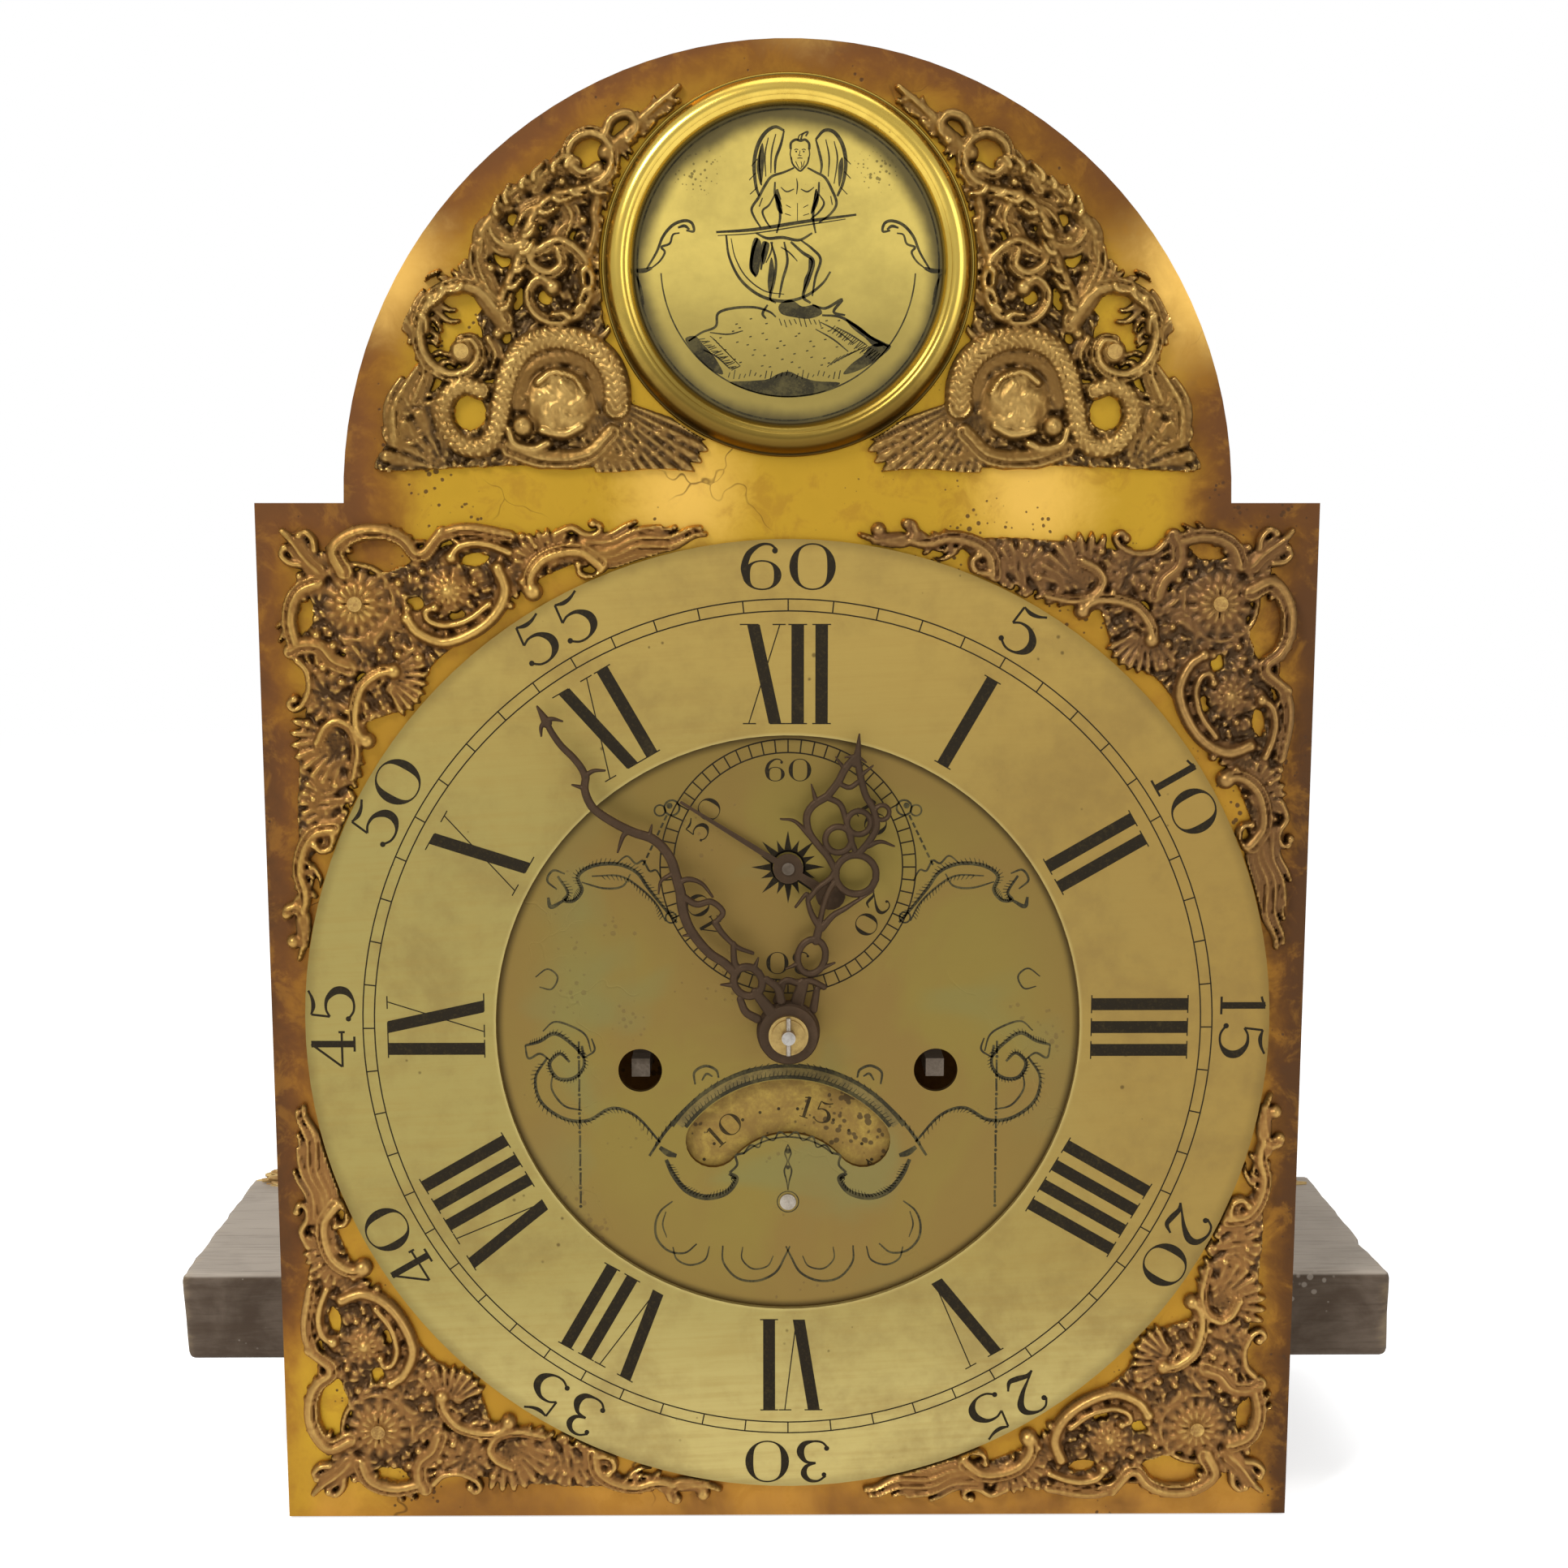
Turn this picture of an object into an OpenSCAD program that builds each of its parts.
// Arched brass dial and eight-day striking movement of a longcase clock, on its seatboard.
// X points to the right of the dial, Z up, and the dial faces -Y.
// The origin is the middle of the seatboard's underside.
// Depths are counted from the front plate's inner face, positive towards the back plate.

/* [Seatboard] */
// Width of the seatboard
board_w = 380; // [340:1:440]
// Depth of the seatboard
board_d = 122; // [116:1:160]
// Thickness of the seatboard
board_t = 28; // [22:1:34]
// Height of the seatboard's underside above the dial's bottom edge
dial_drop = 40; // [32:1:48]
// Distance of the dial's face ahead of the seatboard's front edge
dial_reach = 30; // [22:1:38]
// Width of the notch for the pendulum rod
rod_notch_w = 30; // [24:1:40]
// Width of each slot for the driving lines
line_slot_w = 10; // [8:1:12]

/* [Dial] */
// Width and height of the dial's square
dial_w = 305; // [300:1:312]
// Thickness of the dial plate
dial_t = 2.6; // [2:0.1:4]
// Radius of the arch
arch_r = 127; // [120:1:134]
// Distance between the chapter ring's outer edge and the dial's sides
ring_margin = 10.1; // [6:0.1:14]
// Inner radius of the chapter ring
ring_inner_r = 86.3; // [84:0.1:94]
// Thickness of the chapter ring
ring_t = 2.2; // [1.5:0.1:3]
// Height of the roundel's centre above the dial's shoulders
roundel_rise = 65.4; // [60:0.1:70]
// Radius of the engraved disc in the roundel
roundel_r = 43.3; // [40:0.1:46]
// Thickness of the engraved disc
roundel_t = 2; // [1.5:0.1:3]
// Width of the roundel's rounded frame
roundel_frame_w = 9.2; // [7:0.1:11]
// Height of the roundel's frame above the dial
roundel_frame_t = 7; // [5:0.1:9]
// Distance of the corner spandrels from the dial's edge
spandrel_margin = 7.6; // [5:0.1:10]
// Thickness of the spandrels' lower layer
spandrel_base_t = 2.2; // [1.6:0.1:3]
// Thickness of the spandrels' raised layer
spandrel_relief_t = 1.6; // [1:0.1:3]
// Radius of a winding hole
winding_hole_r = 6.5; // [5.5:0.1:7.5]
// Thickness of the date disc
date_t = 1.5; // [1:0.1:2]
// Radius of the date disc
date_r = 42; // [40:0.5:44]
// Outer radius of the date opening
date_opening_outer_r = 37.4; // [36:0.1:38.5]
// Inner radius of the date opening
date_opening_inner_r = 21; // [18:0.1:26]
// Radius of a dial foot
foot_r = 3.5; // [3:0.1:4.5]

/* [Movement frame] */
// Width of the plates
plate_w = 124; // [120:1:134]
// Height of the plates
plate_h = 166; // [164:1:174]
// Thickness of each plate
plate_t = 3; // [2.5:0.1:4]
// Distance between the plates
plate_gap = 63; // [61:1:70]
// Distance between the dial and the front plate
dial_gap = 38; // [36:1:46]
// Radius of a pillar
pillar_r = 4.6; // [4:0.1:5]
// Distance of the pillars from the plates' edges
pillar_inset = 7.2; // [6.5:0.1:8]
// Distance of the dial feet from the plates' sides
foot_inset = 12; // [11:0.5:14]
// Height of the lower dial feet above the plates' bottom edge
foot_rise = 22.5; // [20:0.5:26]
// Distance of the upper dial feet below the plates' top edge
foot_fall = 19.5; // [18:0.5:24]

/* [Arbor places] */
// Distance of the winding arbors from the centre line
winding_x = 43.9; // [43:0.1:46]
// Distance of the winding arbors below the centre arbor
winding_drop = 13.3; // [12:0.1:15]
// Height of the seconds arbor above the centre arbor
seconds_rise = 47.5; // [46:0.1:48.5]
// Distance of the date disc's stud below the centre arbor
date_drop = 53.6; // [52:0.1:55]
// Place of the pin wheel's arbor from the centre arbor
pin_place = [-29.8, 27.4]; // [-60:0.1:60]
// Place of the rack's stud from the centre arbor
rack_place = [-30.8, 6.6]; // [-60:0.1:60]
// Place of the rack hook's stud from the centre arbor
hook_place = [30, 44]; // [-60:0.1:60]
// Place of the lifting piece's stud from the centre arbor
lifting_place = [38, 10]; // [-60:0.1:60]
// Place of the hammer's arbor from the centre arbor
hammer_place = [-57, 35]; // [-60:0.1:60]

/* [Wheel work] */
// Teeth of the going great wheel
going_great_teeth = 96; // [90:1:100]
// Leaves of the centre pinion
centre_leaves = 8; // [7:1:9]
// Teeth of the centre wheel
centre_teeth = 60; // [58:1:62]
// Leaves of the third pinion
third_leaves = 8; // [7:1:9]
// Teeth of the third wheel
third_teeth = 56; // [54:1:58]
// Leaves of the escape pinion
escape_leaves = 7; // [6:1:8]
// Teeth of the escape wheel
escape_teeth = 30; // [30:1:30]
// Radius of the escape wheel
escape_r = 16; // [15:0.1:17]
// Module of the going train's two upper wheels
going_module = 0.8; // [0.78:0.01:0.82]
// Teeth of the strike great wheel
strike_great_teeth = 78; // [74:1:80]
// Leaves of the pin wheel's pinion
pin_leaves = 8; // [7:1:9]
// Teeth of the pin wheel
pin_teeth = 56; // [56:1:56]
// Hammer pins on the pin wheel
hammer_pins = 8; // [6:1:10]
// Leaves of the gathering, warning and fly pinions
upper_leaves = 7; // [6:1:8]
// Module of the pin wheel
pin_module = 0.8; // [0.78:0.01:0.82]
// Teeth of the gathering wheel
gathering_teeth = 50; // [48:1:52]
// Module of the gathering wheel
gathering_module = 0.65; // [0.62:0.01:0.68]
// Teeth of the warning wheel
warning_teeth = 48; // [46:1:50]
// Module of the warning wheel
warning_module = 0.55; // [0.53:0.01:0.57]
// Teeth of the cannon wheel and of the minute wheel
cannon_teeth = 36; // [34:1:38]
// Module of the cannon and minute wheels
cannon_module = 0.8; // [0.78:0.01:0.82]
// Teeth of the hour wheel
hour_teeth = 72; // [72:1:72]
// Leaves of the minute pinion
minute_leaves = 6; // [6:1:6]
// Thickness of the train wheels
wheel_t = 2; // [1.5:0.1:2.4]
// Thickness of the great wheels
great_wheel_t = 3; // [2.5:0.1:3.4]
// Radius of a barrel's drum
drum_r = 22.5; // [20:0.1:23]
// Radius of a barrel's flanges
flange_r = 25.4; // [24:0.1:26]
// Radius of a ratchet
ratchet_r = 18; // [16:0.1:19]
// Teeth of a ratchet
ratchet_teeth = 24; // [18:1:30]
// Thickness of the levers
lever_t = 2; // [1.6:0.1:2.4]

/* [Bell] */
// Outer radius of the bell's rim
bell_r = 50; // [48:0.5:52]
// Height of the bell
bell_h = 40; // [36:0.5:44]
// Wall of the bell
bell_wall = 2.2; // [1.8:0.1:3]

/* [Hands] */
// Length of the minute hand from the centre to its tip
minute_hand_len = 119.3; // [112:0.1:124]
// Length of the hour hand from the centre to its tip
hour_hand_len = 89.4; // [84:0.1:94]
// Length of the seconds hand from its arbor to its tip
seconds_hand_len = 37; // [33:0.1:40]
// Angle of the minute hand from twelve, clockwise
minute_hand_angle = -37.5; // [-180:0.5:180]
// Angle of the hour hand from twelve, clockwise
hour_hand_angle = 13.6; // [13:0.1:18]
// Angle of the seconds hand from twelve, clockwise
seconds_hand_angle = -58; // [-180:1:180]
// Thickness of the hour and minute hands
hand_t = 1.5; // [1:0.1:2]
// Radius of the brass collet in front of the minute hand
collet_r = 5.8; // [5:0.1:7]

/* [Fits] */
// Radial clearance of what turns on or in another piece
run_gap = 0.1; // [0.06:0.01:0.1]
// Radial clearance of what is pressed or pinned in place
fit_gap = 0.03; // [0.02:0.01:0.05]
// Clearance of levers, pins and hands that pass each other
pass_gap = 0.3; // [0.25:0.01:0.4]

/* [Hidden] */
$fn = 48;

// Places in the clock's own frame
arbor_z = dial_w/2 - dial_drop;
face_d = -(plate_t + dial_gap + dial_t);
dial_back_d = face_d + dial_t;
frame_y = -board_d/2 - dial_reach - face_d;
shoulder = dial_w/2;
ring_outer_r = dial_w/2 - ring_margin;
plate_bottom = board_t - arbor_z;
plate_top = plate_bottom + plate_h;
back_d = plate_gap + plate_t;
going_place = [winding_x, -winding_drop];
strike_place = [-winding_x, -winding_drop];
escape_place = [0, seconds_rise];
pallet_place = [0, seconds_rise + escape_r*sqrt(2)];
date_place = [0, -date_drop];
roundel_place = [0, shoulder + roundel_rise];
feet_places = [for (x = [-1, 1], z = [plate_bottom + foot_rise, plate_top - foot_fall])
    [x*(plate_w/2 - foot_inset), z]];
pillar_places = [for (x = [-1, 1], z = [plate_bottom + pillar_inset, plate_top - pillar_inset])
    [x*(plate_w/2 - pillar_inset), z]];

// Depths of the wheels' front faces
centre_wheel_d = 2;
pin_wheel_d = 7;
gathering_wheel_d = 20;
warning_wheel_d = 26;
barrel_d = 14;
great_wheel_d = plate_gap - 18;
third_wheel_d = plate_gap - 11;
escape_wheel_d = plate_gap - 6;
cannon_wheel_d = -plate_t - 3.5;
bridge_d = cannon_wheel_d - 3.5;
hour_wheel_d = bridge_d - 3.6;
snail_t = 1.6;
snail_d = hour_wheel_d - snail_t;
rack_d = cannon_wheel_d - 2;
rack_tail_d = snail_d - 2.9;
gathering_tail_d = rack_d - 2.6;
bell_d = 34;
bell_clear = 10.5;
cock_half = 4.5;
bell_rim_z = max(plate_top, pallet_place[1] + cock_half) + bell_clear;

// Depths of the hands' front faces
seconds_hand_d = face_d - 4;
hour_hand_d = face_d - 9;
minute_hand_d = face_d - 13.5;

// Distances between arbors
function mesh_gap(a, b, m) = m*(a + b)/2;
function from(p, d, a) = p + d*[cos(a), sin(a)];
function turn(p, a) = [p[0]*cos(a) - p[1]*sin(a), p[0]*sin(a) + p[1]*cos(a)];
function heading(p, q) = atan2(q[1] - p[1], q[0] - p[0]);
great_module = 2*norm(going_place)/(going_great_teeth + centre_leaves);
strike_module = 2*norm(pin_place - strike_place)/(strike_great_teeth + pin_leaves);
centre_third = mesh_gap(centre_teeth, third_leaves, going_module);
third_escape = mesh_gap(third_teeth, escape_leaves, going_module);
third_z = (pow(centre_third, 2) - pow(third_escape, 2) + pow(seconds_rise, 2))/(2*seconds_rise);
third_place = [sqrt(pow(centre_third, 2) - pow(third_z, 2)), third_z];
gathering_place = from(pin_place, mesh_gap(pin_teeth, upper_leaves, pin_module), 75);
warning_place = from(gathering_place,
    mesh_gap(gathering_teeth, upper_leaves, gathering_module), 149.8);
fly_place = from(warning_place, mesh_gap(warning_teeth, upper_leaves, warning_module), -126);
motion_distance = mesh_gap(cannon_teeth, cannon_teeth, cannon_module);
minute_heading = -50;
minute_place = from([0, 0], motion_distance, minute_heading);
hour_module = 2*motion_distance/(hour_teeth + minute_leaves);

// Angle of a tooth on wheel b that meets wheel a, whose tooth stands at angle turn_a
function part_of(x) = x - floor(x);
function mated(turn_a, teeth_a, place_a, place_b, teeth_b) =
    let(h = heading(place_a, place_b), u = part_of((turn_a - h)*teeth_a/360))
    h + 180 - (u + 0.5)*360/teeth_b;

// Radii of the arbors and pipes
arbor_r = 2.6;
slim_arbor_r = 1.8;
fine_arbor_r = 1.4;
pivot_r = 1.2;
centre_front_r = 2;
cannon_pipe_r = 3.4;
bridge_pipe_r = 4.6;
hour_pipe_r = 6;
winding_arbor_r = 4;
winding_square = 5.4;
stud_r = 1.8;

// Rack, snail and gathering pallet
rack_step = 3.1;
rack_drop_range = 12*rack_step + 0.3;
tail_len = 26;
tail_pin_r = 0.9;
tail_rest = heading(rack_place, [0, 0]) - 49.6;
function tail_tip(k) = from(rack_place, tail_len, tail_rest + k*rack_step + 0.3);
gathering_gap = norm(gathering_place - rack_place);
gathering_heading = heading(rack_place, gathering_place);
finger_r = 4.3;
rack_blank_r = gathering_gap - finger_r - 0.5;
rack_tip_r = rack_blank_r + 1.9;
pallet_tail_r = 13;
snail_hours = 0.453;

// Plain drawing helpers: depth runs along Y, and drawings lie in the XZ plane
module slab(p, d0, d1) {
    translate([p[0], frame_y + d1, arbor_z + p[1]]) rotate([90, 0, 0])
        linear_extrude(d1 - d0) children();
}
module fused_slab(p, d0, d1) {
    slab(p, d0, d1) offset(delta = 0.001) children();
}
module rod(p, d0, d1, r) {
    translate([p[0], frame_y + d0, arbor_z + p[1]]) rotate([-90, 0, 0])
        cylinder(r = r, h = d1 - d0);
}
module tube(p, d0, d1, r, bore) {
    difference() {
        rod(p, d0, d1, r);
        rod(p, d0 - 1, d1 + 1, bore);
    }
}

// Wheel outlines
function teeth_points(n, m, turned, tip, root, root_w, tip_w) =
    [for (i = [0 : n - 1], k = [0 : 3])
        let(w = [-root_w, -tip_w, tip_w, root_w][k], r = m*n/2 + m*[-root, tip, tip, -root][k])
        r*[cos(turned + (i + w/2)*360/n), sin(turned + (i + w/2)*360/n)]];
module wheel_outline(n, m, turned) {
    polygon(teeth_points(n, m, turned, 0.95, 1.35, 0.46, 0.16));
}
module pinion_outline(n, m, turned) {
    polygon(teeth_points(n, m, turned, 0.7, 1.5, 0.32, 0.18));
}
module crossed_wheel(n, m, turned, hub_r, rim_w, arms = 4, arm_w = 3) {
    rim_r = m*n/2 - 1.35*m - rim_w;
    difference() {
        wheel_outline(n, m, turned);
        difference() {
            circle(r = rim_r);
            circle(r = hub_r);
            for (i = [0 : arms - 1])
                rotate(45 + i*360/arms) translate([0, -arm_w/2]) square([rim_r + 1, arm_w]);
        }
    }
}

// Strokes for levers, hands and ornament
function unit(v) = v/norm(v);
function way(p, i) = unit(p[min(i + 1, len(p) - 1)] - p[max(i - 1, 0)]);
function beside(p, i, w) = p[i] + w/2*[-way(p, i)[1], way(p, i)[0]];
function swelling(t, w0, w1, mid) = w0 + (w1 - w0)*t + mid*sin(180*t);
module stroke(p, w0, w1, mid = 0) {
    n = len(p) - 1;
    polygon(concat(
        [for (i = [0 : n]) beside(p, i, swelling(i/n, w0, w1, mid))],
        [for (i = [n : -1 : 0]) beside(p, i, -swelling(i/n, w0, w1, mid))]));
}
function bow(c, r0, r1, a0, a1, n = 12) =
    [for (i = [0 : n]) c + (r0 + (r1 - r0)*i/n)*[cos(a0 + (a1 - a0)*i/n), sin(a0 + (a1 - a0)*i/n)]];
module curl(c, r0, r1, a0, a1, w0, w1, eye = 0) {
    stroke(bow(c, r0, r1, a0, a1), w0, w1);
    if (eye > 0) translate(c + r1*[cos(a1), sin(a1)]) circle(r = eye, $fn = 10);
}
module dot(p, r) {
    translate(p) circle(r = r, $fn = 16);
}
module petals(c, r, n) {
    translate(c) polygon([for (i = [0 : 2*n - 1])
        (i % 2 == 0 ? r : 0.84*r)*[cos(i*180/n), sin(i*180/n)]]);
}

// Seatboard
module seatboard() {
    line_d = barrel_d + 2;
    color("dimgray") difference() {
        translate([-board_w/2, -board_d/2, 0]) cube([board_w, board_d, board_t]);
        translate([-rod_notch_w/2, frame_y + back_d + 3, -1])
            cube([rod_notch_w, board_d, board_t + 2]);
        for (p = [going_place, strike_place]) {
            translate([p[0] - drum_r - line_slot_w/2, frame_y + line_d, -1])
                cube([line_slot_w, great_wheel_d - line_d - 4, board_t + 2]);
            translate([p[0] + drum_r, frame_y + barrel_d + 14, -1])
                cylinder(r = 2.5, h = board_t + 2);
        }
        for (x = [-1, 1], d = bolt_depths) translate([x*bolt_x, frame_y + d, -1]) {
            cylinder(r = bolt_r + run_gap, h = board_t + 2);
            cylinder(r = bolt_head_r + pass_gap, h = bolt_head_t + 1.6);
        }
    }
}
bolt_r = 2.4;
bolt_head_r = 5.5;
bolt_head_t = 4;
bolt_x = plate_w/2 - pillar_inset;
bolt_depths = [plate_gap - 11];
module seatboard_bolts() {
    color("slategray") for (x = [-1, 1], d = bolt_depths)
        translate([x*bolt_x, frame_y + d, 0.6]) {
            cylinder(r = bolt_head_r, h = bolt_head_t);
            cylinder(r = bolt_r, h = board_t + pillar_inset - 0.6);
        }
}

// Dial
module date_opening_outline() {
    span = 50;
    cap_r = (date_opening_outer_r - date_opening_inner_r)/2;
    mid_r = date_opening_outer_r - cap_r;
    polygon(concat(bow([0, 0], date_opening_outer_r, date_opening_outer_r, 90 - span, 90 + span, 24),
        bow(mid_r*[cos(90 + span), sin(90 + span)], cap_r, cap_r, 90 + span + 12, 258 + span, 10),
        bow([0, 0], date_opening_inner_r, date_opening_inner_r, 90 + span, 90 - span, 20),
        bow(mid_r*[cos(90 - span), sin(90 - span)], cap_r, cap_r, span*0 - 78 - span, 78 - span, 10)));
}
foot_tenon_r = 2.2;
ring_foot_r = 1.6;
ring_feet = [for (a = [45 : 90 : 315]) from([0, 0], (ring_outer_r + ring_inner_r)/2, a)];
screw_r = 1.2;
screw_head_r = 2.1;
screw_head_t = 1.4;
// The corner pattern is drawn in millimetres for a dial of drawn_w with its edge at drawn_margin
drawn_w = 305;
drawn_margin = 7.6;
drawn_screw = 28.5;
corner_scale = dial_w/drawn_w;
corner_reach = dial_w/2 - 12.5;
corner_screw = dial_w/2 - spandrel_margin - corner_scale*(drawn_screw - drawn_margin);
arch_screw = [-92, 42];
screw_places = concat([for (x = [-1, 1], z = [-1, 1]) [x*corner_screw, z*corner_screw]],
    [for (x = [-1, 1]) [x*arch_screw[0], shoulder + arch_screw[1]]]);
module dial_plate() {
    color("peru") difference() {
        union() {
            slab([0, 0], face_d, dial_back_d)
                translate([-dial_w/2, -dial_w/2]) square(dial_w);
            rod([0, shoulder], face_d, dial_back_d, arch_r);
        }
        rod([0, 0], face_d - 1, dial_back_d + 1, hour_pipe_r + 1.2);
        rod(escape_place, face_d - 1, dial_back_d + 1, 3);
        for (p = [going_place, strike_place])
            rod(p, face_d - 1, dial_back_d + 1, winding_hole_r);
        fused_slab(date_place, face_d - 1, dial_back_d + 1) date_opening_outline();
        rod(date_place, face_d - 1, dial_back_d + 1, 1.6 + fit_gap);
        for (p = ring_feet) rod(p, face_d - 1, dial_back_d + 1, ring_foot_r + fit_gap);
        for (p = screw_places) rod(p, face_d - 1, dial_back_d + 1, screw_r + fit_gap);
    }
}
module dial_feet() {
    color("goldenrod") for (p = feet_places) difference() {
        union() {
            rod(p, dial_back_d, -plate_t, foot_r);
            rod(p, -plate_t - 1, 5, foot_tenon_r);
        }
        translate([p[0], frame_y + pin_hole_d, arbor_z + p[1]]) rotate([0, 90, 0])
            cylinder(r = pin_r + fit_gap, h = 20, center = true);
    }
}
pin_r = 0.8;
pin_hole_d = 1.2;
module chapter_ring() {
    color("darkkhaki") {
        tube([0, 0], face_d - ring_t, face_d, ring_outer_r, ring_inner_r);
        for (p = ring_feet) rod(p, face_d - 0.4, dial_back_d + 1.4, ring_foot_r);
    }
}
module roundel_disc() {
    color("khaki") rod(roundel_place, face_d - roundel_t, face_d, roundel_r);
}
module roundel_frame() {
    w = roundel_frame_w;
    t = roundel_frame_t;
    profile = [[0, 0], [w, 0], [w, 1.4], [w - 0.8, 1.8], [w - 1.2, 0.45*t], [w - 2.2, 0.78*t],
        [w - 3.8, 0.96*t], [w/2, t], [2.6, 0.9*t], [1, 0.66*t], [0, 0.4*t]];
    color("gold") translate([0, frame_y + face_d, arbor_z + roundel_place[1]]) rotate([90, 0, 0])
        rotate_extrude($fn = 96) translate([roundel_r + fit_gap, 0]) polygon(profile);
}

// Pierced corner ornament, drawn for the top left corner with its origin at the dial's corner
module corner_half() {
    petals([28.5, -28.5], 12.4, 14);
    stroke([[8.2, -8.2], [14, -11], [23, -22]], 2, 7, 2);
    petals([57, -23.5], 8.6, 12);
    stroke([[36, -21], [44, -15], [52, -13.5], [62, -13.5], [70, -17]], 4, 5, 1);
    curl([43, -31], 6.5, 2, 120, 420, 3.2, 2.6, 1.7);
    curl([66, -37], 8, 2.4, 60, -200, 3.6, 2.6, 1.9);
    stroke([[46, -41], [52, -46], [60, -45], [66, -40], [76, -32]], 3, 4, 2);
    stroke([[64, -15], [74, -11], [84, -12], [94, -16], [99, -20]], 5, 3.6, 2.4);
    curl([82, -21], 7.5, 2.2, 150, -130, 3.6, 2.4, 1.9);
    stroke([[86, -14], [98, -9.5], [110, -10.5], [121, -13], [132, -11]], 4, 1.2, 3);
    stroke([[92, -24], [100, -18], [108, -15], [118, -13.6]], 3.4, 3, 1);
    stroke([[34, -40], [38, -48], [43, -54], [48, -50]], 6, 5, 2);
}
module fit_corner() {
    translate([spandrel_margin, -spandrel_margin]) scale(corner_scale)
        translate([-drawn_margin, drawn_margin]) children();
}
module corner_outline() {
    intersection() {
        union() {
            fit_corner() {
                corner_half();
                mirror([1, 1]) mirror([0, 0]) corner_half();
                petals([46, -46], 7, 10);
            }
        }
        difference() {
            translate([spandrel_margin - 1, -corner_reach]) square(corner_reach - spandrel_margin);
            translate([dial_w/2, -dial_w/2]) circle(r = ring_outer_r + 1.2, $fn = 120);
        }
    }
}
module layered(p, flip) {
    d = face_d - spandrel_base_t;
    difference() {
        union() {
            fused_slab(p, d, face_d) mirror(flip[0]) mirror(flip[1]) children();
            slab(p, d - spandrel_relief_t, d)
                offset(delta = -0.9) mirror(flip[0]) mirror(flip[1]) children();
        }
        for (q = screw_places) rod(q, d - spandrel_relief_t - 1, face_d + 1, screw_r + fit_gap);
    }
}
same = [0, 0];
across = [1, 0];
down = [0, 1];
module spandrel_top_left() {
    color("saddlebrown") layered([-dial_w/2, dial_w/2], [same, same]) corner_outline();
}
module spandrel_top_right() {
    color("saddlebrown") layered([dial_w/2, dial_w/2], [across, same]) corner_outline();
}
module spandrel_bottom_left() {
    color("sienna") layered([-dial_w/2, -dial_w/2], [same, down]) corner_outline();
}
module spandrel_bottom_right() {
    color("sienna") layered([dial_w/2, -dial_w/2], [across, down]) corner_outline();
}

// Pierced dolphin ornament, drawn for the left with its origin at the arch's centre
module arch_outline() {
    intersection() {
        union() {
            petals([-61, 28], 11, 12);
            stroke([[-46, 34], [-50, 44], [-60, 48], [-72, 45], [-78, 36], [-83, 26], [-91, 19],
                [-98, 20], [-100, 27], [-95, 32]], 13, 4.5, 0);
            stroke([[-54, 20], [-42, 19], [-32, 16], [-22, 14]], 13, 2, 2);
            stroke([[-70, 15], [-84, 13], [-98, 13], [-110, 12], [-117, 10]], 5, 3, 3);
            stroke([[-106, 14], [-110, 24], [-107, 34], [-101, 44]], 4, 4, 3);
            curl([-96, 46], 9, 3, -60, 220, 4, 3, 2.2);
            stroke([[-104, 52], [-100, 62], [-94, 72], [-86, 80], [-78, 86]], 5, 5, 2);
            stroke([[-84, 48], [-80, 58], [-84, 66], [-92, 70]], 5, 3, 2);
            curl([-69, 58], 8.5, 3, 180, 500, 4, 3, 2.2);
            stroke([[-78, 62], [-76, 72], [-70, 80], [-72, 90]], 4, 4, 2);
            curl([-62, 74], 8, 3, 90, 360, 4, 3, 2.2);
            stroke([[-80, 84], [-70, 92], [-60, 98], [-50, 104], [-40, 109], [-30, 113.5]], 5, 1.6, 4);
            curl([-58, 92], 7, 2.6, 60, -220, 3.6, 2.6, 2);
            stroke([[-53, 62], [-56, 72], [-54, 84], [-48, 96]], 3, 3, 2);
            dot([-92, 42], 4.6);
        }
        difference() {
            translate([-118.6, 9]) square([100, 112]);
            difference() {
                translate([-200, -1]) square(400);
                circle(r = 118.6, $fn = 120);
            }
            translate([0, roundel_rise])
                circle(r = roundel_r + roundel_frame_w + 1, $fn = 96);
        }
    }
}
module arch_spandrel_left() {
    color("saddlebrown") layered([0, shoulder], [same, same]) arch_outline();
}
module arch_spandrel_right() {
    color("saddlebrown") layered([0, shoulder], [across, same]) arch_outline();
}

// Date disc behind the dial, on a stud riveted in it
module date_disc() {
    d = dial_back_d + 0.4;
    color("khaki") difference() {
        rod(date_place, d, d + date_t, date_r);
        rod(date_place, d - 1, d + date_t + 1, stud_r + run_gap);
    }
}
module date_stud() {
    d = dial_back_d + 0.4 + date_t;
    color("silver") {
        rod(date_place, face_d - 0.6, face_d, 2.4);
        rod(date_place, face_d - 0.1, dial_back_d, 1.6);
        rod(date_place, dial_back_d, d + 0.2, stud_r);
        rod(date_place, d + 0.2, d + 1.4, 4);
    }
}

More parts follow.
